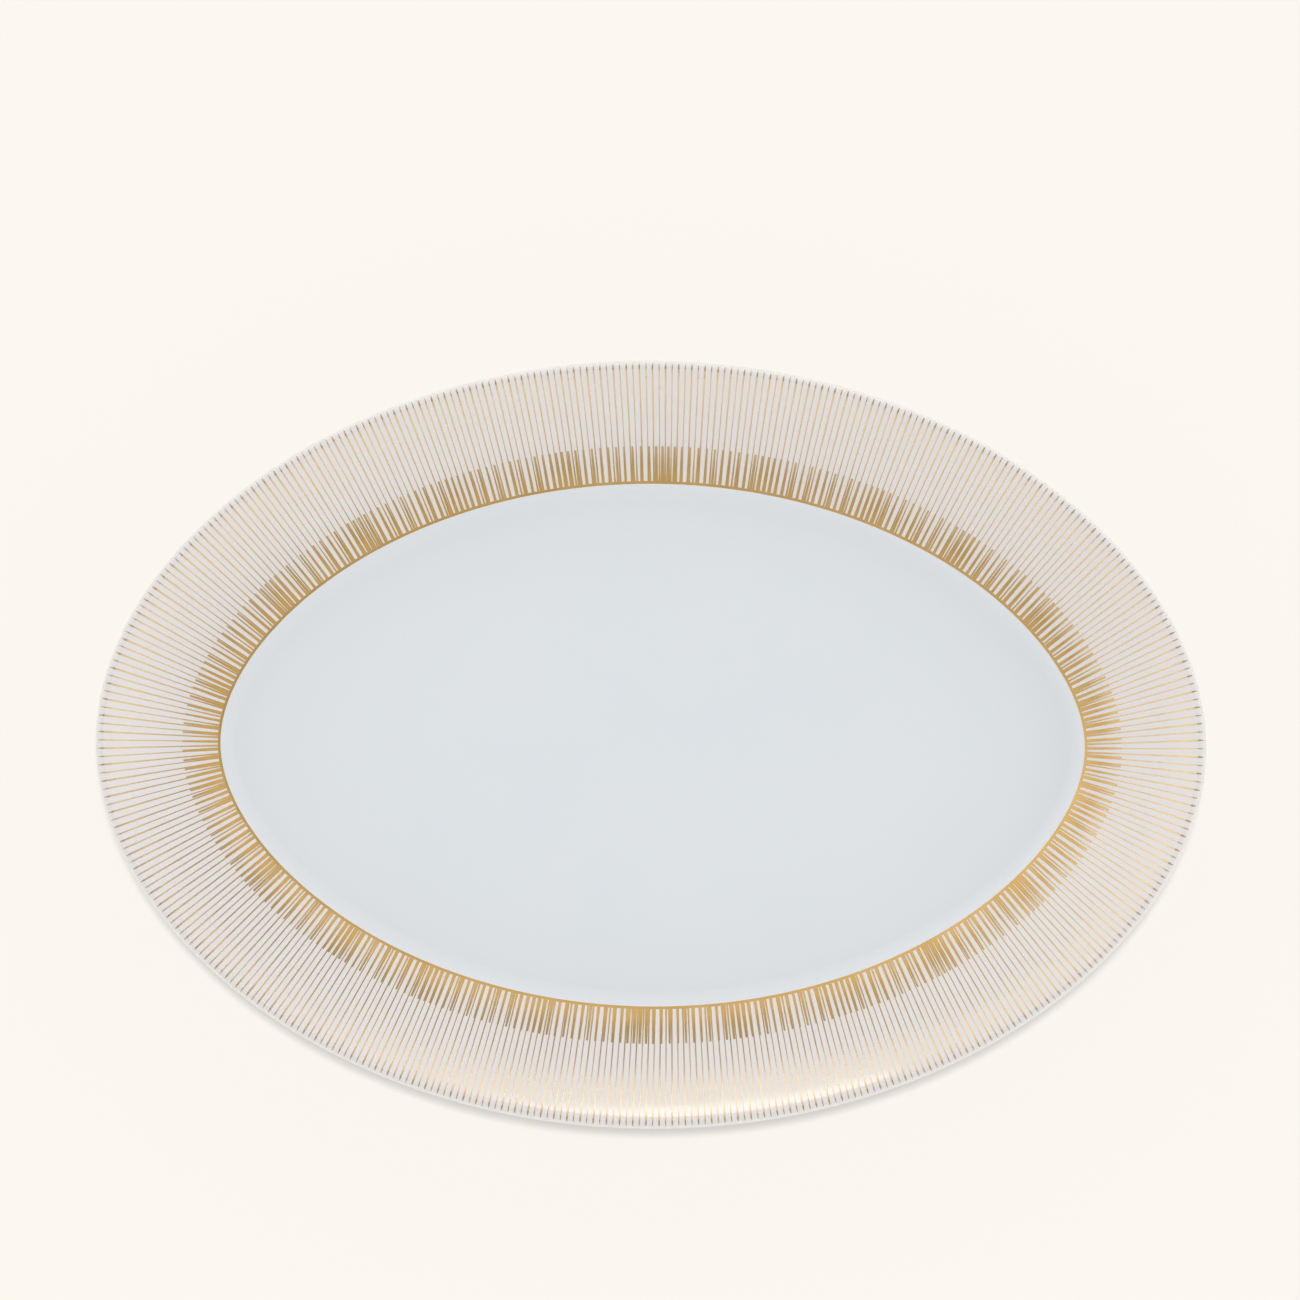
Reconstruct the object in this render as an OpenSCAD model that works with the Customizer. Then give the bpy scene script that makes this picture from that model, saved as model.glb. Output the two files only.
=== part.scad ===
// Oval porcelain serving platter with a wide rim and fired gold rays.
// Millimetres. +X runs along the platter, +Z points up out of the well,
// and the origin is on the resting plane, at the middle of the foot ring.

/* [Platter] */
// Length of the platter over its lip
platter_l = 380; // [320:1:420]
// Width of the platter over its lip
platter_w = 262.4; // [250:0.1:330]
// Height from the resting plane to the top of the lip
platter_h = 26; // [20:0.5:36]
// Fullness of the outline at its four shoulders, 0 for the plain oval
shoulder = 0.37; // [0:0.01:1]
// Width of the rim, from the gold line to the outermost edge
rim_w = 41.5; // [25:0.1:55]

/* [Walls] */
// Thickness through the well, with its glaze
well_t = 5.4; // [4:0.1:7]
// Thickness at the lip, with its glaze
lip_t = 4.4; // [3:0.1:5.5]
// Width of the soft break between the flat well and the rim
break_w = 5; // [3:0.1:10]
// How much more steeply the rim rises at its edge than at its start
sweep = 1.35; // [1.1:0.01:2]
// Thickness of the glaze
glaze_t = 0.25; // [0.15:0.01:0.5]

/* [Foot ring] */
// Height of the foot ring below the underside of the well
foot_h = 2.6; // [1.5:0.1:5]
// Width of the bare face that the platter stands on
foot_w = 4; // [2.5:0.1:7]
// Distance from the gold line in to the outside of the foot ring
foot_inset = 7; // [6:0.5:14]
// Height of the bare clay left below the glaze on the foot ring
bare_h = 0.8; // [0.3:0.1:1.4]

/* [Gold] */
// Width of the gold line round the well
line_w = 0.9; // [0.5:0.1:2]
// Number of strong rays, with a fine ray between each two
ray_pairs = 210; // [100:2:240]
// Width of a strong ray
strong_w = 0.5; // [0.3:0.05:0.9]
// Width of a fine ray
fine_w = 0.35; // [0.2:0.05:0.6]
// Number of clusters of comb strokes round the well
clusters = 22; // [10:1:30]
// Number of comb strokes in a cluster
cluster_strokes = 14; // [6:1:18]
// Length of a comb stroke, measured out from the gold line's inner edge
comb_l = 12.7; // [6:0.1:20]
// Width of a comb stroke
comb_w = 0.75; // [0.4:0.05:1.2]
// Thickness of one printed coat of gold
gold_t = 0.03; // [0.02:0.01:0.1]

/* [Hidden] */

// Number of stations round the outline; a multiple of four puts one on each end and side
stations = 84;
station_turn = 360 / stations;
// Share of the rim's width at which the rays are evenly spaced
ray_level = 0.45;
// Share of the rim's width at which the comb's clusters are evenly spaced
comb_level = 0.12;
// Where along the rim's width the face bends between two straight runs
rim_bends = [0.3, 0.62];
// How far a cluster's middle is turned on from the end of the platter, in clusters
cluster_turn = 0.389;
// How strongly the strokes of a cluster are drawn together, at one and two waves a cluster
cluster_draw = [0.020, 0.008];
// Clearance between a coat of gold and what it lies on
coat_gap = 0.01;
// Clearance between the gold line and the strips that start at it
line_gap = 0.03;
// The rounded lip, from its highest point down to its outermost point
lip_turns = [90, 45];
degrees = 180 / PI;

// The outline is a support function: the distance from the centre to the tangent whose
// outward normal points at angle f is mean_r + oval_r cos 2f - shoulder cos 4f.
oval_r = (platter_l - platter_w) / 4;
mean_r = (platter_l + platter_w) / 4 + shoulder;
line_r = mean_r - rim_w;

function outward(f) = [cos(f), sin(f)];
function along(f) = [-sin(f), cos(f)];
function reach(f) = line_r + oval_r * cos(2 * f) - shoulder * cos(4 * f);
function reach_rate(f) = -2 * oval_r * sin(2 * f) + 4 * shoulder * sin(4 * f);

// A point at distance q outside the gold line, on the normal that points at angle f
function rim_point(f, q) = (reach(f) + q) * outward(f) + reach_rate(f) * along(f);

// Length of the outline's parallel at distance q, from angle 0 to angle f
function arc_length(f, q) =
    (line_r + q) * f / degrees - 1.5 * oval_r * sin(2 * f) + 3.75 * shoulder * sin(4 * f);
function bend_radius(f, q) =
    line_r + q - 3 * oval_r * cos(2 * f) + 15 * shoulder * cos(4 * f);

// The angle at which that length is reached, by Newton's steps
newton_steps = 8;
function angle_at(len, q, f, n = newton_steps) =
    n == 0 ? f
    : angle_at(len, q, f + degrees * (len - arc_length(f, q)) / bend_radius(f, q), n - 1);
function angle_of_share(share, q) =
    angle_at(share * arc_length(360, q), q, share * 360);

// Section through the wall. Distances run out from the gold line, heights up from the foot.
well_z = foot_h + well_t;
lip_r = lip_t / 2;
lip_at = [rim_w - lip_r, platter_h - lip_r];
lip_slope = atan(sweep * (lip_at[1] - well_z) / (rim_w + break_w));
sweep_l = lip_at[0] - lip_r * sin(lip_slope) + break_w;
sweep_h = lip_at[1] + lip_r * cos(lip_slope) - well_z;

function share_out(q) = (q + break_w) / sweep_l;
function face_z(q) = well_z + sweep_h * pow(share_out(q), sweep);
function face_slope(q) =
    q <= -break_w ? 0 : atan(sweep * sweep_h / sweep_l * pow(share_out(q), sweep - 1));
function wall_t(q) = well_t + (lip_t - well_t) * share_out(q);

// Straight down into the wall from the face, square to it
function into_wall(q) = [sin(face_slope(q)), -cos(face_slope(q))];
function face_at(q, depth) = [q, face_z(q)] + depth * into_wall(q);
function back_at(q, depth) = [q, face_z(q)] + (wall_t(q) - depth) * into_wall(q);
function lip_at_turn(turn, depth) = lip_at + (lip_r - depth) * [cos(turn), sin(turn)];

rim_stops = [-break_w, 0, for (share = rim_bends) share * rim_w];
function face_run(depth) = [
    for (q = rim_stops) face_at(q, depth),
    lip_at_turn(90 + lip_slope, depth),
    for (turn = lip_turns) lip_at_turn(turn, depth),
    lip_at_turn(0, depth)
];
function back_run(depth) = [
    lip_at_turn(0, depth),
    lip_at_turn(-45, depth),
    lip_at_turn(lip_slope - 90, depth),
    for (i = [len(rim_stops) - 1:-1:0]) back_at(rim_stops[i], depth)
];

// Outside and inside faces of the foot ring, as distances from the gold line
foot_out = -foot_inset;
foot_in = foot_out - foot_w;

function reversed(list) = [for (i = [len(list) - 1:-1:0]) list[i]];
function after_first(list) = [for (i = [1:len(list) - 1]) list[i]];

// Carries a section round the outline. A ring section closes on itself;
// any other has flat ends that fill the middle of the platter. Each wall is split from
// its inner point at one station to its outer point at the next, so touching walls agree.
module swept(section, ring = false) {
    rows = len(section);
    points = [
        for (s = section, i = [0:stations - 1])
            let (p = rim_point(i * station_turn, s[0])) [p[0], p[1], s[1]]
    ];
    walls = [
        for (r = [0:rows - (ring ? 1 : 2)], i = [0:stations - 1])
            let (
                after = (r + 1) % rows,
                next = (i + 1) % stations,
                a = r * stations,
                b = after * stations,
                runs_out = section[after][0] >= section[r][0]
            )
            each runs_out
                ? [[a + i, b + i, b + next], [a + i, b + next, a + next]]
                : [[a + i, b + i, a + next], [b + i, b + next, a + next]]
    ];
    ends = ring ? [] : [
        [for (i = [0:stations - 1]) i],
        [for (i = [stations - 1:-1:0]) (rows - 1) * stations + i]
    ];
    polyhedron(points, [for (face = concat(walls, ends)) reversed(face)], convexity = 6);
}

module oval(q) {
    polygon([for (i = [0:stations - 1]) rim_point(i * station_turn, q)]);
}

// A strip of gold along the rim's normal at angle f, lying on the face's flat facets.
// Its section in the upright plane through the normal is [distance, height] points.
module strip(f, width, section) {
    station = floor(f / station_turn);
    part = f / station_turn - station;
    before = station * station_turn;
    after = before + station_turn;
    foot = (1 - part) * rim_point(before, 0) + part * rim_point(after, 0);
    lean = (1 - part) * outward(before) + part * outward(after);
    translate([foot[0], foot[1], 0])
        rotate([90, 0, atan2(lean[1], lean[0])])
            translate([0, 0, -width / 2])
                linear_extrude(width)
                    polygon([for (s = section) [s[0] * norm(lean), s[1]]]);
}

// The face as straight runs between its bends, and strips of gold that lie on it
face_bends = face_run(0);
face_table = [for (i = [0:len(face_bends) - 2]) face_bends[i]];
function coat_section(from, to, low, high) =
    let (
        stops = [from, for (p = face_table) if (p[0] > from && p[0] < to) p[0], to],
        level = function (q, lift) [q, lookup(q, face_table) + lift]
    )
    concat([for (q = stops) level(q, low)], [for (q = reversed(stops)) level(q, high)]);

module rays(width, first) {
    section = coat_section(line_w + line_gap, lip_at[0], coat_gap, coat_gap + gold_t);
    for (i = [first:2:2 * ray_pairs - 1])
        strip(angle_of_share(i / (2 * ray_pairs), ray_level * rim_w), width, section);
}

// Where a stroke stands in its cluster: closest together at 0 and 1, the cluster's middle
function in_cluster(t) = t - cluster_draw[0] * sin(360 * t) - cluster_draw[1] * sin(720 * t);

module porcelain_body() {
    color("whitesmoke")
        union() {
            swept(concat(face_run(glaze_t), after_first(back_run(glaze_t))));
            linear_extrude(foot_h + well_t / 2)
                difference() {
                    oval(foot_out - glaze_t);
                    oval(foot_in + glaze_t);
                }
        }
}

module face_glaze() {
    color("aliceblue")
        swept(concat(face_run(0), reversed(face_run(glaze_t))));
}

module back_glaze() {
    foot_z = foot_h + glaze_t;
    color("ghostwhite")
        swept(concat(
            back_run(0),
            [[foot_out, foot_h], [foot_out, bare_h]],
            [[foot_out - glaze_t, bare_h], [foot_out - glaze_t, foot_z]],
            reversed(back_run(glaze_t))
        ), ring = true);
}

module recess_glaze() {
    color("mintcream")
        difference() {
            translate([0, 0, bare_h])
                linear_extrude(foot_h + glaze_t - bare_h)
                    oval(foot_in + glaze_t);
            translate([0, 0, bare_h - 1])
                linear_extrude(foot_h - bare_h + 1)
                    oval(foot_in);
        }
}

module gold_well_line() {
    color("goldenrod")
        swept(coat_section(0, line_w, 0, gold_t), ring = true);
}

module gold_strong_rays() {
    color("gold") rays(strong_w, 1);
}

module gold_fine_rays() {
    color("khaki") rays(fine_w, 0);
}

module gold_comb_strokes() {
    low = 2 * coat_gap + gold_t;
    section = coat_section(line_w + line_gap, comb_l, low, low + gold_t);
    color("darkgoldenrod")
        for (c = [0:clusters - 1], i = [0:cluster_strokes - 1]) {
            t = (i + 0.5) / cluster_strokes;
            share = (c + cluster_turn + in_cluster(t)) / clusters;
            strip(angle_of_share(share, comb_level * rim_w), comb_w, section);
        }
}

porcelain_body();
face_glaze();
back_glaze();
recess_glaze();
gold_well_line();
gold_strong_rays();
gold_fine_rays();
gold_comb_strokes();
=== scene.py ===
"""Oval porcelain serving platter with a wide rim, glaze and fired gold rays.

Metres, +X along the platter, +Z up out of the well, origin on the resting plane.
Every surface is one section, a list of (distance out from the gold line, height)
points, carried round one outline, so the layers fit each other exactly.
"""
import math

import bpy
import numpy as np
from mathutils import Matrix, Vector


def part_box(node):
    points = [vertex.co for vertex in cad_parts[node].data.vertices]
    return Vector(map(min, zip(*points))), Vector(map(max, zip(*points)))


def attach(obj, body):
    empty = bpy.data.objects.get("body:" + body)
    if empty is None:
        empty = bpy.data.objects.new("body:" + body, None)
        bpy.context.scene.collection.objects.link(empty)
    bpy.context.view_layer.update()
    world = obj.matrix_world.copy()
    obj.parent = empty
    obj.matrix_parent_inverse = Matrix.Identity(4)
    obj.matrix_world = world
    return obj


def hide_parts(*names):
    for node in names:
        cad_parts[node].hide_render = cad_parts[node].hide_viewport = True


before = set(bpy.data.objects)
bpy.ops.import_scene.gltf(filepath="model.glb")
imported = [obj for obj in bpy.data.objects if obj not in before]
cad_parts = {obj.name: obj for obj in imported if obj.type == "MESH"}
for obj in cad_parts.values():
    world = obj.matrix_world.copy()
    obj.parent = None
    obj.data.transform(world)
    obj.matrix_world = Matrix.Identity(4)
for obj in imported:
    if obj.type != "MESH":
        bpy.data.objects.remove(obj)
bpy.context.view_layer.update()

MM = 0.001

# ---------------------------------------------------------------- sizes
# Read from the frame
HALF_L, HALF_W, TOP_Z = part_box("face_glaze")[1]
LINE_OUTER_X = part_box("gold_well_line")[1].x
RECESS_LOW, RECESS_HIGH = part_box("recess_glaze")

# The same driving sizes as the frame's
SHOULDER = 0.37 * MM
GLAZE_T = 0.25 * MM
LINE_W = 0.9 * MM
WELL_T = 5.4 * MM
LIP_R = 2.2 * MM
BREAK_W = 5.0 * MM
SWEEP = 1.35
FOOT_OUT = -7.0 * MM
FOOT_IN = -11.0 * MM
COMB_L = 12.7 * MM
RAY_PAIRS = 210
CLUSTERS = 22
CLUSTER_STROKES = 14
RAY_LEVEL = 0.45
COMB_LEVEL = 0.12
CLUSTER_TURN = 0.389
CLUSTER_DRAW = (0.020, 0.008)
COAT_GAP = 0.01 * MM
GOLD_T = 0.03 * MM

# Worked out from both
RIM_W = HALF_L - LINE_OUTER_X + LINE_W
BARE_Z = RECESS_LOW.z
RECESS_Z = RECESS_HIGH.z - GLAZE_T
WELL_Z = RECESS_Z + WELL_T
OVAL_R = (HALF_L - HALF_W) / 2
LINE_R = (HALF_L + HALF_W) / 2 + SHOULDER - RIM_W

# Rounded edges of the foot, and the coves where it meets the back and the recess
FOOT_EDGE_R = 0.9 * MM
COVE_R = 1.2 * MM

# Gap between the glaze and the underside of the gold line
LINE_GAP = 0.002 * MM
# Rays and comb strokes start just inside the outer edge of the gold line
STROKE_START = 0.9 * LINE_W
# Widths of a ray at the gold line, at its waist and at the lip
STRONG_RAY = (0.64 * MM, 0.38 * MM, 0.62 * MM)
FINE_RAY = (0.62 * MM, 0.29 * MM, 0.40 * MM)
# Where a ray has its waist, as a share of the rim's width
WAIST_AT = 0.36
# How sharply it widens again towards the gold line and towards the lip
INWARD_POWER, OUTWARD_POWER = 1.6, 1.2
# Over the lip it loses LIP_LOSS of its width, from this share on and over this much
LIP_LOSS = 0.4
LIP_LOSS_FROM = 0.92
LIP_LOSS_OVER = 0.06
# How far over the lip the rays reach, as an angle up from straight out
RAY_END_TURN = math.radians(54)
# Widths of a comb stroke at the gold line and at its outer end
COMB_WIDTHS = (1.04 * MM, 0.59 * MM)
# Share by which strokes are wider at a cluster's heart and narrower between clusters
CLUSTER_BOLDNESS = 0.16

# Stations round the outline on the smooth shells
STATIONS = 720
# Stops across the rim, which crowd towards the break by this power
RIM_STOP_COUNT = 49
STOP_CROWDING = 1.25
# One more stop inside the break keeps the flat middle's shading flat
FLAT_STEP = 0.5 * MM
# Points on the lip's two halves, on a rounded corner and across the gold line
FACE_LIP_POINTS = 25
BACK_LIP_POINTS = 15
CORNER_POINTS = 9
LINE_POINTS = 9
# Points along a ray on the face and over the lip, and along a comb stroke
RAY_FACE_POINTS = 13
RAY_LIP_POINTS = 8
COMB_POINTS = 7
# Newton's steps, enough to settle
NEWTON_STEPS = 12
# Corners sharper than this are shaded as edges
SHARP_CORNER = math.radians(35)


# ---------------------------------------------------------------- outline
def on_plan(f, q):
    """Point at distance q outside the gold line, on the outline's normal at angle f.

    The outline is a support function: the tangent whose normal points at angle f lies
    LINE_R + OVAL_R cos 2f - SHOULDER cos 4f from the centre. Adding q gives a parallel.
    """
    reach = LINE_R + OVAL_R * np.cos(2 * f) - SHOULDER * np.cos(4 * f) + q
    rate = -2 * OVAL_R * np.sin(2 * f) + 4 * SHOULDER * np.sin(4 * f)
    return reach * np.cos(f) - rate * np.sin(f), reach * np.sin(f) + rate * np.cos(f)


def angles_of_shares(shares, q):
    """Angles at which these shares of the length of the parallel at distance q are reached.

    The bend radius is the support function plus its second derivative, and the length
    from angle 0 is the integral of the bend radius. Newton's steps invert it.
    """
    f = 2 * np.pi * shares
    target = (LINE_R + q) * f
    for _ in range(NEWTON_STEPS):
        length = (LINE_R + q) * f - 1.5 * OVAL_R * np.sin(2 * f) \
            + 3.75 * SHOULDER * np.sin(4 * f)
        radius = LINE_R + q - 3 * OVAL_R * np.cos(2 * f) + 15 * SHOULDER * np.cos(4 * f)
        f = f + (target - length) / radius
    return f


# ---------------------------------------------------------------- section
# The lip is round about this point
LIP_Q, LIP_Z = RIM_W - LIP_R, TOP_Z - LIP_R
# Slope of the face where the lip takes over, and how far out and up it sweeps to there
LIP_SLOPE = math.atan(SWEEP * (LIP_Z - WELL_Z) / (RIM_W + BREAK_W))
SWEEP_L = LIP_Q - LIP_R * math.sin(LIP_SLOPE) + BREAK_W
SWEEP_H = LIP_Z + LIP_R * math.cos(LIP_SLOPE) - WELL_Z
FACE_END = SWEEP_L - BREAK_W
# Angles up from straight out at which the lip leaves the face and joins the back
FACE_LIP_TURN = math.pi / 2 + LIP_SLOPE
BACK_LIP_TURN = LIP_SLOPE - math.pi / 2

RIM_STOPS = np.concatenate([
    [-BREAK_W - FLAT_STEP],
    -BREAK_W + (FACE_END + BREAK_W) * np.linspace(0, 1, RIM_STOP_COUNT) ** STOP_CROWDING,
])


def face_point(q, depth):
    """Point of the face at distance q, then depth into the wall, square to the face.

    Height is WELL_Z + SWEEP_H * share ** SWEEP, where share runs from 0 at the break
    to 1 at the lip, so the rim starts level with the well and rises ever more steeply.
    """
    share = np.clip((q + BREAK_W) / SWEEP_L, 0, 1)
    slope = np.arctan(SWEEP * SWEEP_H / SWEEP_L * share ** (SWEEP - 1) * (share > 0))
    z = WELL_Z + SWEEP_H * share ** SWEEP
    return q + depth * np.sin(slope), z - depth * np.cos(slope)


def lip_point(turn, depth):
    """Point on the round lip at angle turn, measured up from straight out."""
    return LIP_Q + (LIP_R - depth) * np.cos(turn), LIP_Z + (LIP_R - depth) * np.sin(turn)


def over_lip(q, lift):
    """Point at distance q lifted square off the face; past FACE_END it rolls over the lip."""
    on_face = face_point(np.minimum(q, FACE_END), -lift)
    turn = np.arccos(np.clip((q - LIP_Q) / LIP_R, -1, 1))
    on_lip = lip_point(turn, -lift)
    past = q > FACE_END
    return np.where(past, on_lip[0], on_face[0]), np.where(past, on_lip[1], on_face[1])


def wall_at(q):
    """Wall thickness, which narrows evenly from the well to the lip's full round."""
    share = np.clip((q + BREAK_W) / SWEEP_L, 0, 1)
    return WELL_T + (2 * LIP_R - WELL_T) * share


def face_run(depth):
    """Section of the face from the break, over the rim, to the outermost line of the lip."""
    turns = np.linspace(FACE_LIP_TURN, 0, FACE_LIP_POINTS)[1:]
    face = np.array(face_point(RIM_STOPS, depth))
    return np.concatenate([face, lip_point(turns, depth)], axis=1).T


def back_run(depth):
    """Section of the back from the outermost line of the lip in to the break."""
    turns = np.linspace(0, BACK_LIP_TURN, BACK_LIP_POINTS)[:-1]
    stops = RIM_STOPS[::-1]
    back = np.array(face_point(stops, wall_at(stops) - depth))
    return np.concatenate([lip_point(turns, depth), back], axis=1).T


def round_corner(centre, radius, start, end):
    """Arc of a section about centre, from angle start to angle end."""
    turn = np.linspace(start, end, CORNER_POINTS)
    return np.stack([centre[0] + radius * np.cos(turn), centre[1] + radius * np.sin(turn)], -1)


# ---------------------------------------------------------------- meshes
def mesh_piece(name, points, quads, triangles=None):
    """A smooth-shaded mesh object from an array of points and arrays of corner numbers."""
    mesh = bpy.data.meshes.new(name)
    faces = [np.asarray(quads, np.int32).reshape(-1, 4)]
    if triangles is not None:
        faces.append(np.asarray(triangles, np.int32).reshape(-1, 3))
    corners = np.concatenate([f.ravel() for f in faces])
    sizes = np.concatenate([np.full(len(f), f.shape[1], np.int32) for f in faces])
    mesh.vertices.add(len(points))
    mesh.vertices.foreach_set("co", np.asarray(points, np.float32).ravel())
    mesh.loops.add(len(corners))
    mesh.loops.foreach_set("vertex_index", corners)
    mesh.polygons.add(len(sizes))
    mesh.polygons.foreach_set("loop_start", np.cumsum(sizes) - sizes)
    mesh.polygons.foreach_set("use_smooth", np.ones(len(sizes), bool))
    mesh.update()
    mesh.validate()
    mesh.set_sharp_from_angle(angle=SHARP_CORNER)
    piece = bpy.data.objects.new(name, mesh)
    bpy.context.scene.collection.objects.link(piece)
    return piece


def add_reach(piece, values):
    """Gives each point its reach, the share of the rim's width it lies from the gold line.

    The materials read it to change colour and gloss across the rim.
    """
    made = piece.data.attributes.new("reach", "FLOAT", "POINT")
    made.data.foreach_set("value", np.asarray(values, np.float32))


def swept_piece(name, section, closes=True):
    """Carries a section round the outline: point (q, z) goes to on_plan(f, q) at height z.

    A section that closes makes a ring. Any other runs from the middle of the platter back
    to the middle, where each end is drawn in to one point on the axis.
    """
    f = np.arange(STATIONS) * 2 * np.pi / STATIONS
    q, z = np.asarray(section).T
    x, y = on_plan(f[None, :], q[:, None])
    points = np.stack([x, y, np.broadcast_to(z[:, None], x.shape)], axis=-1).reshape(-1, 3)
    reach = np.repeat(q / RIM_W, STATIONS)
    rows = len(section)
    a = np.arange(rows if closes else rows - 1)[:, None] * STATIONS
    b = (a + STATIONS) % (rows * STATIONS)
    i = np.arange(STATIONS)
    j = (i + 1) % STATIONS
    quads = np.stack([a + i, b + i, b + j, a + j], axis=-1)
    caps = None
    if not closes:
        first, last, end = len(points), len(points) + 1, (rows - 1) * STATIONS
        caps = np.concatenate([
            np.stack([i, j, np.full_like(i, first)], axis=-1),
            np.stack([end + j, end + i, np.full_like(i, last)], axis=-1),
        ])
        points = np.concatenate([points, [[0, 0, z[0]], [0, 0, z[-1]]]])
        reach = np.concatenate([reach, [-1, -1]])
    piece = mesh_piece(name, points, quads, caps)
    add_reach(piece, reach)
    return piece


def strokes_piece(name, angles, q, widths, lift):
    """Strips of gold along the outline's normals at these angles, lying on the face.

    Station k of a strip is at distance q[k] with half its width to each side along the
    tangent, from lift to lift + GOLD_T above the face, square to it. Its four corners make
    a tube that is closed by a quad at each end.
    """
    sides = np.array([-0.5, 0.5, 0.5, -0.5])
    lifts = lift + GOLD_T * np.array([1.0, 1.0, 0.0, 0.0])
    count, rows, corners = len(angles), len(q), len(sides)
    out, z = over_lip(q[:, None], lifts[None, :])
    x, y = on_plan(angles[:, None, None], out[None])
    across = sides[None, None, :] * np.broadcast_to(widths, (count, rows))[:, :, None]
    x = x - across * np.sin(angles)[:, None, None]
    y = y + across * np.cos(angles)[:, None, None]
    points = np.stack([x, y, np.broadcast_to(z[None], x.shape)], axis=-1).reshape(-1, 3)
    base = np.arange(count)[:, None, None] * rows * corners
    near_row = base + np.arange(rows - 1)[None, :, None] * corners
    far_row = near_row + corners
    c = np.arange(corners)[None, None, :]
    d = (c + 1) % corners
    tube = np.stack([near_row + c, far_row + c, far_row + d, near_row + d], axis=-1)
    near_end = base + c
    far_end = base + (rows - 1) * corners + c[:, :, ::-1]
    quads = np.concatenate([part.reshape(-1, 4) for part in (tube, near_end, far_end)])
    piece = mesh_piece(name, points, quads)
    add_reach(piece, np.tile(np.repeat(q / RIM_W, corners), count))
    return piece


# ---------------------------------------------------------------- pieces
def make_body():
    """The fired clay: the face and back set in by the glaze, and the foot ring."""
    inner, outer = FOOT_IN + GLAZE_T, FOOT_OUT - GLAZE_T
    r = FOOT_EDGE_R
    under = RECESS_Z + GLAZE_T
    foot = np.concatenate([
        [[outer, under]],
        round_corner((outer - r, r), r, 0, -math.pi / 2),
        round_corner((inner + r, r), r, -math.pi / 2, -math.pi),
        [[inner, under]],
    ])
    section = np.concatenate([face_run(GLAZE_T), back_run(GLAZE_T)[1:], foot])
    return swept_piece("fired_porcelain_body", section, closes=False)


def make_face_glaze():
    """Glaze over the well and rim: the face's own section, and the same one GLAZE_T deep."""
    section = np.concatenate([face_run(0), face_run(GLAZE_T)[::-1]])
    return swept_piece("glaze_on_face", section, closes=False)


def make_back_glaze():
    """Glaze from the lip's outermost line down the back and the outside of the foot."""
    out, low = FOOT_OUT, BARE_Z
    outside = np.concatenate([
        back_run(0),
        round_corner((out + COVE_R, RECESS_Z - COVE_R), COVE_R, math.pi / 2, math.pi),
        [[out, low], [out - GLAZE_T, low], [out - GLAZE_T, RECESS_Z + GLAZE_T]],
    ])
    return swept_piece("glaze_on_back", np.concatenate([outside, back_run(GLAZE_T)[::-1]]))


def make_recess_glaze():
    """Glaze down the inside of the foot ring and across the recess."""
    inn, low = FOOT_IN, BARE_Z
    section = np.concatenate([
        [[inn + GLAZE_T, RECESS_Z + GLAZE_T], [inn + GLAZE_T, low], [inn, low]],
        round_corner((inn - COVE_R, RECESS_Z - COVE_R), COVE_R, 0, math.pi / 2),
        [[inn - COVE_R - FLAT_STEP, RECESS_Z]],
    ])
    return swept_piece("glaze_in_foot_recess", section, closes=False)


def make_well_line():
    """The gold line: the face's section over LINE_W, lifted by GOLD_T, down to LINE_GAP."""
    q = np.linspace(0, LINE_W, LINE_POINTS)
    top = np.stack(face_point(q, -GOLD_T), -1)
    bottom = np.stack(face_point(q, -LINE_GAP), -1)
    return swept_piece("gold_line_round_well", np.concatenate([top, bottom[::-1]]))


def ray_widths(share, base, waist, tip):
    """Width along a ray: a wedge at the line, thinnest a third of the way out, then wider.

    From the waist it grows by a power of the share towards each end, to base at the line
    and tip at the lip. Over the lip it narrows again.
    """
    inward = np.clip((WAIST_AT - share) / WAIST_AT, 0, 1)
    outward = np.clip((share - WAIST_AT) / (1 - WAIST_AT), 0, 1)
    lip = np.clip((share - LIP_LOSS_FROM) / LIP_LOSS_OVER, 0, 1)
    wedge = (base - waist) * inward ** INWARD_POWER
    flare = (tip - waist) * outward ** OUTWARD_POWER
    return (waist + wedge + flare) * (1 - LIP_LOSS * lip)


def make_rays(name, first, widths):
    """Every second ray from the first, evenly spaced along the parallel at RAY_LEVEL."""
    shares = np.arange(first, 2 * RAY_PAIRS, 2) / (2 * RAY_PAIRS)
    angles = angles_of_shares(shares, RAY_LEVEL * RIM_W)
    on_face = np.linspace(STROKE_START, FACE_END, RAY_FACE_POINTS)
    turns = np.linspace(FACE_LIP_TURN, RAY_END_TURN, RAY_LIP_POINTS)[1:]
    q = np.concatenate([on_face, LIP_Q + LIP_R * np.cos(turns)])
    return strokes_piece(name, angles, q, ray_widths(q / RIM_W, *widths), COAT_GAP)


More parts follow.
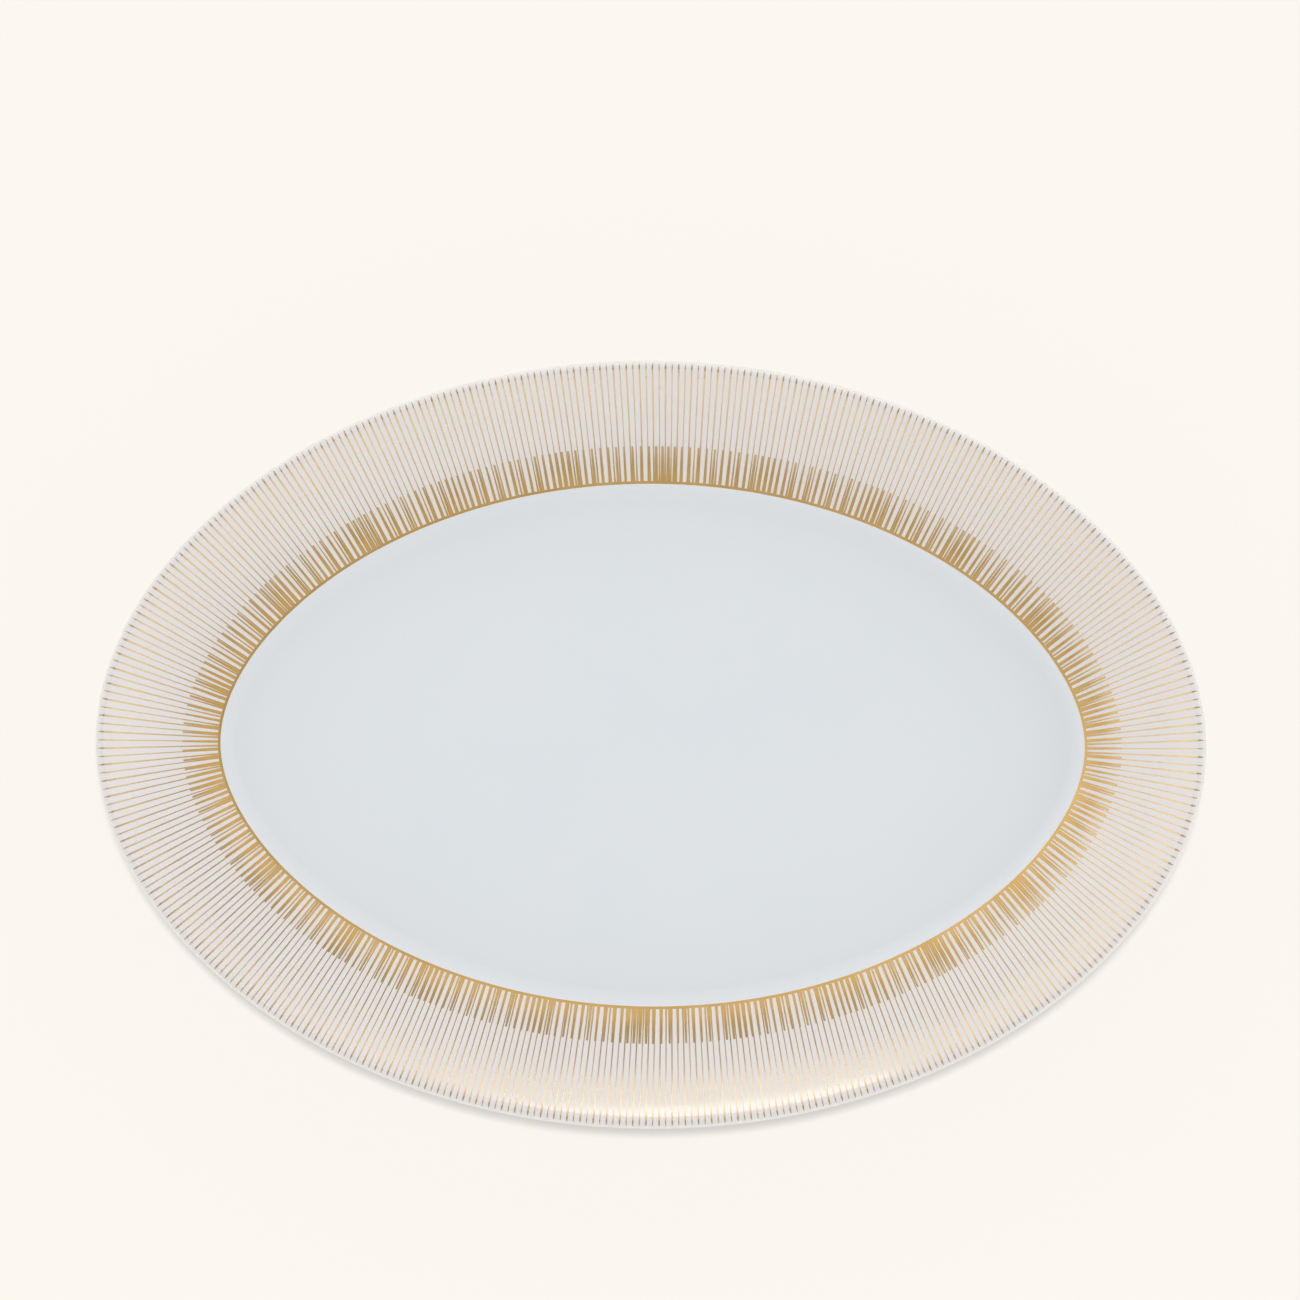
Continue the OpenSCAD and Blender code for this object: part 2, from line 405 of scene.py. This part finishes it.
def make_comb():
    """Short wedges on the gold line, drawn together and boldest in each cluster's heart.

    A stroke stands at t, from one cluster's heart at 0 to the next at 1. It is moved by
    sines of one and two waves, and its width goes with 1 + CLUSTER_BOLDNESS cos 2 pi t.
    """
    t = (np.arange(CLUSTER_STROKES) + 0.5) / CLUSTER_STROKES
    bold = 1 + CLUSTER_BOLDNESS * np.cos(2 * np.pi * t)
    t = t - CLUSTER_DRAW[0] * np.sin(2 * np.pi * t) - CLUSTER_DRAW[1] * np.sin(4 * np.pi * t)
    shares = ((np.arange(CLUSTERS)[:, None] + CLUSTER_TURN + t[None, :]) / CLUSTERS).ravel()
    angles = angles_of_shares(shares, COMB_LEVEL * RIM_W)
    q = np.linspace(STROKE_START, COMB_L, COMB_POINTS)
    widths = np.tile(bold, CLUSTERS)[:, None] * np.interp(q, [0, COMB_L], COMB_WIDTHS)
    return strokes_piece("gold_comb_round_well", angles, q, widths, 2 * COAT_GAP + GOLD_T)


# ---------------------------------------------------------------- shader maths
class Value:
    """A socket in a material's node tree; arithmetic on it adds Math nodes."""

    def __init__(self, tree, socket):
        self.tree, self.socket = tree, socket

    def maths(self, operation, *others):
        """The result of one Math node on this value and the others."""
        made = self.tree.node("ShaderNodeMath", {"operation": operation}, [self, *others])
        return made.out()

    def __add__(self, other):
        return self.maths("ADD", other)

    def __mul__(self, other):
        return self.maths("MULTIPLY", other)

    def __sub__(self, other):
        return self.maths("SUBTRACT", other)

    def __rsub__(self, other):
        return self.tree.number(other).maths("SUBTRACT", self)

    __radd__ = __add__
    __rmul__ = __mul__


class Made:
    """A node that Tree.node made, with its outputs as Values."""

    def __init__(self, tree, node):
        self.tree, self.node = tree, node

    def out(self, name=0):
        return Value(self.tree, self.node.outputs[name])


class Tree:
    """One material's or world's node tree."""

    def __init__(self, tree):
        self.tree = tree
        tree.nodes.clear()

    def node(self, kind, settings=None, inputs=None):
        """A node of this type; its settings are set first, then its sockets' values or links."""
        made = self.tree.nodes.new(kind)
        for key, value in (settings or {}).items():
            if key == "ramp":
                stops = made.color_ramp.elements
                while len(stops) < len(value):
                    stops.new(0.5)
                for stop, (position, colour) in zip(stops, value):
                    stop.position, stop.color = position, colour
            else:
                setattr(made, key, value)
        pairs = inputs.items() if isinstance(inputs, dict) else enumerate(inputs or [])
        for key, value in pairs:
            if isinstance(value, Value):
                self.tree.links.new(value.socket, made.inputs[key])
            else:
                made.inputs[key].default_value = value
        return Made(self, made)

    def number(self, value):
        """A number as a Value, for arithmetic that starts with it."""
        made = self.node("ShaderNodeValue")
        made.node.outputs[0].default_value = value
        return made.out()

    def mix(self, share, low, high):
        """Colour between low and high."""
        return self.node("ShaderNodeMix", {"data_type": "RGBA"},
                         {0: share, 6: low, 7: high}).out(2)

    def noise(self, scale, detail=2.0, rough=0.5):
        """Noise over the piece's Object coordinates, of about scale waves a metre."""
        place = self.node("ShaderNodeTexCoord").out("Object")
        return self.node("ShaderNodeTexNoise", None,
                         {"Vector": place, "Scale": scale, "Detail": detail,
                          "Roughness": rough}).out(0)

    def reach(self):
        """The piece's reach attribute."""
        return self.node("ShaderNodeAttribute", {"attribute_name": "reach"}).out("Fac")

    def between(self, value, span, to=(0.0, 1.0)):
        """Value carried from one span to another, and held at its ends."""
        return self.node("ShaderNodeMapRange", None, [value, *span, *to]).out()


# ---------------------------------------------------------------- finishes
# A mottled finish wavers between two colours
WELL_GLAZE = ((0.839, 0.877, 0.908, 1), (0.853, 0.889, 0.918, 1))
INNER_RIM_GLAZE = ((0.858, 0.814, 0.788, 1), (0.873, 0.827, 0.801, 1))
OUTER_RIM_GLAZE = ((0.862, 0.824, 0.808, 1), (0.878, 0.838, 0.821, 1))
# Painted shade: the glaze over the lip is painted greyer
LIP_GLAZE_PAINTED_SHADE = (0.80, 0.79, 0.775, 1)
BARE_CLAY = ((0.70, 0.68, 0.64, 1), (0.78, 0.76, 0.72, 1))
# Gold colours, partly painted shade near the gold line and painted light further out
INNER_GOLD_WITH_PAINTED_SHADE = ((0.80, 0.505, 0.170, 1), (0.84, 0.545, 0.205, 1))
OUTER_GOLD_WITH_PAINTED_LIGHT = ((0.885, 0.645, 0.320, 1), (0.925, 0.685, 0.360, 1))
# Painted shade: gold over the lip painted browner, for the dark its edge mirrors
LIP_GOLD_PAINTED_SHADE = (0.58, 0.42, 0.22, 1)

# Roughness, and for the gold what is uneven in it and what grows across the rim
GLAZE_ROUGHNESS = (0.05, 0.08)
CLAY_ROUGHNESS = (0.55, 0.75)
GOLD_UNEVEN = (0.0, 0.05)
GOLD_ROUGHNESS = (0.15, 0.26)
GLAZE_IOR = 1.5

# Depth of the ripple in the glaze and of the grain in the bare clay
RIPPLE_H = 0.02 * MM
GRAIN_H = 0.03 * MM

# Reach over which one finish gives way to the next
WELL_TO_RIM = (-0.02, 0.06)
INNER_TO_OUTER_GLAZE = (0.25, 0.45)
# Reach over which the lip's painted shade comes in on the glaze
GLAZE_TO_LIP_PAINTED_SHADE = (0.955, 0.985)
# Reach over which the gold's painted shade gives way to its painted light
INNER_TO_OUTER_GOLD = (0.15, 0.45)
# Reach over which the lip's painted shade comes in on the gold
GOLD_TO_LIP_PAINTED_SHADE = (0.955, 0.970)
GOLD_DULLS = (0.45, 0.75)

# The part of a noise's values that is stretched to a whole span
NOISE_SPAN = (0.3, 0.7)
GOLD_NOISE_SPAN = (0.35, 0.65)


def new_material(name, principled, bump=None):
    """A Principled material. principled(tree) gives its inputs; bump(tree) a height in metres."""
    material = bpy.data.materials.new(name)
    material.use_nodes = True
    tree = Tree(material.node_tree)
    inputs = principled(tree)
    if bump is not None:
        inputs["Normal"] = tree.node("ShaderNodeBump", None,
                                     {"Strength": 1.0, "Distance": 1.0,
                                      "Height": bump(tree)}).out()
    shader = tree.node("ShaderNodeBsdfPrincipled", None, inputs)
    tree.node("ShaderNodeOutputMaterial", None, {"Surface": shader.out()})
    return material


def glaze_material():
    """Clear glaze over white porcelain: hardly mottled, glossy, faintly rippled.

    It is a cooler white in the well than on the rim. Over the lip its colour is painted
    a little greyer: painted shade.
    """
    def inputs(tree):
        cloud = tree.between(tree.noise(scale=18.0, detail=3.0), NOISE_SPAN)
        well = tree.mix(cloud, *WELL_GLAZE)
        inner = tree.mix(cloud, *INNER_RIM_GLAZE)
        outer = tree.mix(cloud, *OUTER_RIM_GLAZE)
        reach = tree.reach()
        rim = tree.mix(tree.between(reach, INNER_TO_OUTER_GLAZE), inner, outer)
        face = tree.mix(tree.between(reach, WELL_TO_RIM), well, rim)
        return {
            # Painted shade over the lip
            "Base Color": tree.mix(tree.between(reach, GLAZE_TO_LIP_PAINTED_SHADE), face, LIP_GLAZE_PAINTED_SHADE),
            "Roughness": tree.between(tree.noise(scale=60.0), NOISE_SPAN, GLAZE_ROUGHNESS),
            "IOR": GLAZE_IOR,
        }

    def ripple(tree):
        return tree.noise(scale=45.0, detail=1.0) * RIPPLE_H
    return new_material("porcelain_glaze", inputs, ripple)


def bare_clay_material():
    """Unglazed porcelain: warm white, matt, with a fine ground grain."""
    def inputs(tree):
        grain = tree.between(tree.noise(scale=900.0, detail=4.0), NOISE_SPAN)
        return {
            "Base Color": tree.mix(grain, *BARE_CLAY),
            "Roughness": tree.between(grain, (0.0, 1.0), CLAY_ROUGHNESS),
        }

    def ground(tree):
        return tree.noise(scale=1500.0, detail=3.0) * GRAIN_H
    return new_material("bare_fired_porcelain", inputs, ground)


def gold_material():
    """Fired gold, burnished: warm metal, a little uneven along and between its strokes.

    It grows duller across the rim, and its colour is painted browner near the gold line
    and paler towards the lip, partly painted shade and painted light for the darker and
    brighter surroundings it mirrors there. Where a ray rolls over the lip its colour is
    painted browner still: painted shade for the dark its edge mirrors.
    """
    def inputs(tree):
        cloud = tree.between(tree.noise(scale=90.0), GOLD_NOISE_SPAN)
        inner = tree.mix(cloud, *INNER_GOLD_WITH_PAINTED_SHADE)
        outer = tree.mix(cloud, *OUTER_GOLD_WITH_PAINTED_LIGHT)
        reach = tree.reach()
        # Painted shade near the gold line giving way to painted light further out
        plain = tree.mix(tree.between(reach, INNER_TO_OUTER_GOLD), inner, outer)
        return {
            # Painted shade over the lip
            "Base Color": tree.mix(tree.between(reach, GOLD_TO_LIP_PAINTED_SHADE), plain, LIP_GOLD_PAINTED_SHADE),
            "Metallic": 1.0,
            "Roughness": tree.between(tree.noise(scale=150.0), NOISE_SPAN, GOLD_UNEVEN)
            + tree.between(reach, GOLD_DULLS, GOLD_ROUGHNESS),
        }
    return new_material("burnished_fired_gold", inputs)


# ---------------------------------------------------------------- build
glaze, clay, gold = glaze_material(), bare_clay_material(), gold_material()

PIECES = [
    (make_body(), clay, "bare_porcelain", "porcelain_body"),
    (make_face_glaze(), glaze, "glaze", "face_glaze"),
    (make_back_glaze(), glaze, "glaze", "back_glaze"),
    (make_recess_glaze(), glaze, "glaze", "recess_glaze"),
    (make_well_line(), gold, "fired_gold", "gold_well_line"),
    (make_rays("gold_strong_rays_on_rim", 1, STRONG_RAY), gold, "fired_gold",
     "gold_strong_rays"),
    (make_rays("gold_fine_rays_on_rim", 0, FINE_RAY), gold, "fired_gold", "gold_fine_rays"),
    (make_comb(), gold, "fired_gold", "gold_comb_strokes"),
]
for piece, material, slot, node in PIECES:
    piece.data.materials.append(material)
    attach(piece, "root")
    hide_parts(node)


# ---------------------------------------------------------------- stage
FLOOR_HALF = 10.0
FLOOR_GAP = 0.02 * MM

# The light tent's brightness by angle from overhead in degrees, open and behind its flag
OPEN_TENT = [(90, 0.9), (80, 1.1), (76, 2.25), (66, 2.2), (60, 0.73), (52, 0.82),
             (45, 0.80), (41, 0.58), (37, 0.55), (33, 0.70), (27, 0.77), (22, 0.30)]
FLAGGED_TENT = [(90, 0.9), (80, 1.1), (76, 2.25), (66, 2.2), (61, 0.76), (54, 0.42),
                (51, 0.29), (39, 0.38), (35, 0.70), (30, 0.74), (24, 0.30)]
# A ramp's stops hold the brightness divided by this, and the world's strength restores it
HEADROOM = 2.0
# The flag's soft edge, along the tent's north with a little of its east
FLAG_SLANT = 0.3
FLAG_EDGE = (0.25, 0.6)
# Each side's extra brightness, from one height to another. A height is the upward part
# of a direction, 0 at the horizon and 1 overhead
NORTH_HEIGHTS, NORTH_EXTRA = (0.74, 0.82), (0.12, 0.28)
EAST_HEIGHTS, EAST_EXTRA = (0.58, 0.74), (0.08, 0.0)
WEST_HEIGHTS = (0.62, 0.70)
# The west side's extra fades eastwards, along the tent's east with some of its south
WEST_SLANT = 0.4
WEST_EDGE, WEST_EXTRA = (-0.60, -0.30), (0.28, 0.0)


def make_floor():
    """A plain pale floor just below the foot, lit up evenly; clear when seen from below."""
    h, z = FLOOR_HALF, -FLOOR_GAP
    points = [(-h, -h, z), (h, -h, z), (h, h, z), (-h, h, z)]
    floor = mesh_piece("pale_floor", np.array(points), [[0, 1, 2, 3]])
    material = bpy.data.materials.new("pale_cream_floor")
    material.use_nodes = True
    tree = Tree(material.node_tree)
    paper = tree.node("ShaderNodeBsdfPrincipled", None, {
        "Base Color": (0.10, 0.098, 0.092, 1),
        "Roughness": 0.9,
        "Specular IOR Level": 0.0,
        "Emission Color": (1.0, 0.971, 0.925, 1),
        "Emission Strength": 0.585,
    }).out()
    clear = tree.node("ShaderNodeBsdfTransparent").out()
    below = tree.node("ShaderNodeNewGeometry").out("Backfacing")
    seen = tree.node("ShaderNodeMixShader", None, [below, paper, clear]).out()
    tree.node("ShaderNodeOutputMaterial", None, {"Surface": seen})
    floor.data.materials.append(material)
    return floor


def make_floor_sun(floor):
    """A soft distant light on the floor alone, which drops the platter's shadow on it."""
    data = bpy.data.lights.new("floor_light", "SUN")
    data.energy = 9.4
    data.angle = math.radians(8.5)
    data.color = (1, 0.97, 0.90)
    light = bpy.data.objects.new("floor_light", data)
    light.rotation_euler = (math.radians(-6.8), math.radians(3.1), 0)
    bpy.context.scene.collection.objects.link(light)
    lit = bpy.data.collections.new("lit_floor")
    lit.objects.link(floor)
    light.light_linking.receiver_collection = lit


def make_softbox():
    """A long narrow light beyond the platter's far side, aimed at the origin."""
    data = bpy.data.lights.new("softbox", "AREA")
    data.shape = "RECTANGLE"
    data.size = 0.84
    data.size_y = 0.075
    data.energy = 0.98
    data.color = (1, 0.99, 0.98)
    light = bpy.data.objects.new("softbox", data)
    place = Vector((-0.10, 1.361, 1.015))
    light.location = place
    light.rotation_euler = (-place).to_track_quat("-Z", "Y").to_euler()
    bpy.context.scene.collection.objects.link(light)


def make_sky():
    """A light tent, by height: dark cap where the camera looks in, bright low walls.

    A flag darkens the middle heights of its north side. Its strength is 1 plus the extra
    brightness of its north, east and west sides, each over its own heights.
    """
    world = bpy.data.worlds.new("light_tent")
    bpy.context.scene.world = world
    world.use_nodes = True
    tree = Tree(world.node_tree)
    ray = tree.node("ShaderNodeTexCoord").out("Generated")
    parts = tree.node("ShaderNodeSeparateXYZ", None, [ray])
    east, north, up = parts.out(0), parts.out(1), parts.out(2)

    def banded(bands):
        stops = []
        for zenith, level in bands:
            grey = level / HEADROOM
            stops.append((math.cos(math.radians(zenith)), (grey, grey, grey, 1)))
        return tree.node("ShaderNodeValToRGB", {"ramp": stops}, [up]).out()

    flag = tree.between(north + east * FLAG_SLANT, FLAG_EDGE)
    shade = tree.mix(flag, banded(OPEN_TENT), banded(FLAGGED_TENT))
    tilt = 1.0 + north * tree.between(up, NORTH_HEIGHTS, NORTH_EXTRA)
    tilt = tilt + east * tree.between(up, EAST_HEIGHTS, EAST_EXTRA)
    west = tree.between(east - north * WEST_SLANT, WEST_EDGE, WEST_EXTRA)
    tilt = tilt + west * tree.between(up, WEST_HEIGHTS)
    background = tree.node("ShaderNodeBackground", None,
                           {"Color": shade, "Strength": tilt * HEADROOM})
    tree.node("ShaderNodeOutputWorld", None, {"Surface": background.out()})


def make_camera():
    """Over the platter, a little to its right, with the platter low in the frame."""
    frame_width = 0.4440
    distance = 3.5
    sideways = math.radians(2.9)
    nearer = math.radians(1.3)
    roll = math.radians(0.5)
    aim = Vector((0.0, 0.0322, TOP_Z))
    data = bpy.data.cameras.new("camera")
    data.sensor_width = 36
    data.lens = data.sensor_width * distance / frame_width
    data.clip_end = 20
    camera = bpy.data.objects.new("camera", data)
    turn = Matrix.Rotation(sideways, 4, "Y") @ Matrix.Rotation(nearer, 4, "X") \
        @ Matrix.Rotation(roll, 4, "Z")
    place = aim + turn @ Vector((0, 0, distance))
    camera.matrix_world = Matrix.Translation(place) @ turn
    bpy.context.scene.collection.objects.link(camera)
    bpy.context.scene.camera = camera


make_floor_sun(make_floor())
make_sky()
make_softbox()
make_camera()
bpy.context.scene.view_settings.view_transform = "Standard"
